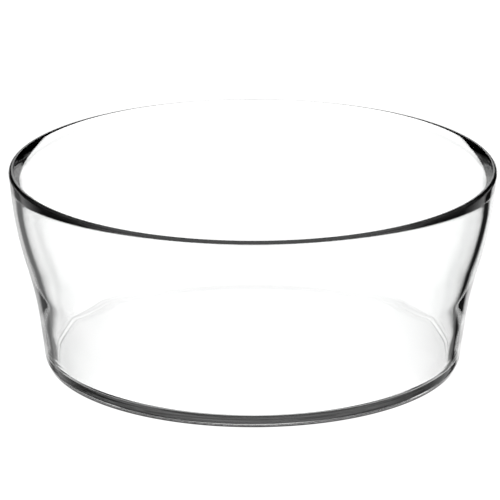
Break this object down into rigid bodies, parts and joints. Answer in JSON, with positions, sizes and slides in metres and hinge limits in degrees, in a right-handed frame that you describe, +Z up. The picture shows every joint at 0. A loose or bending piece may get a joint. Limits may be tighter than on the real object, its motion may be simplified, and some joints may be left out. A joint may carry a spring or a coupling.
{
  "type": "crystallizing dish",
  "caption": "Clear glass crystallizing dish: wide, flat-based and low, with a soft shoulder half way up its side and a rounded lip, made in one piece.",
  "frame": {"origin": "centre of the foot, on the surface that the dish stands on", "axes": "+Z up along the dish's axis, out of the mouth; the dish is round, so +X and +Y are any two level directions at right angles"},
  "size_m": [0.2, 0.2, 0.082],
  "materials": {
    "glass": "clear, colourless, fire-polished"
  },
  "bodies": {
    "root": {"dish": "glass"}
  },
  "joints": []
}
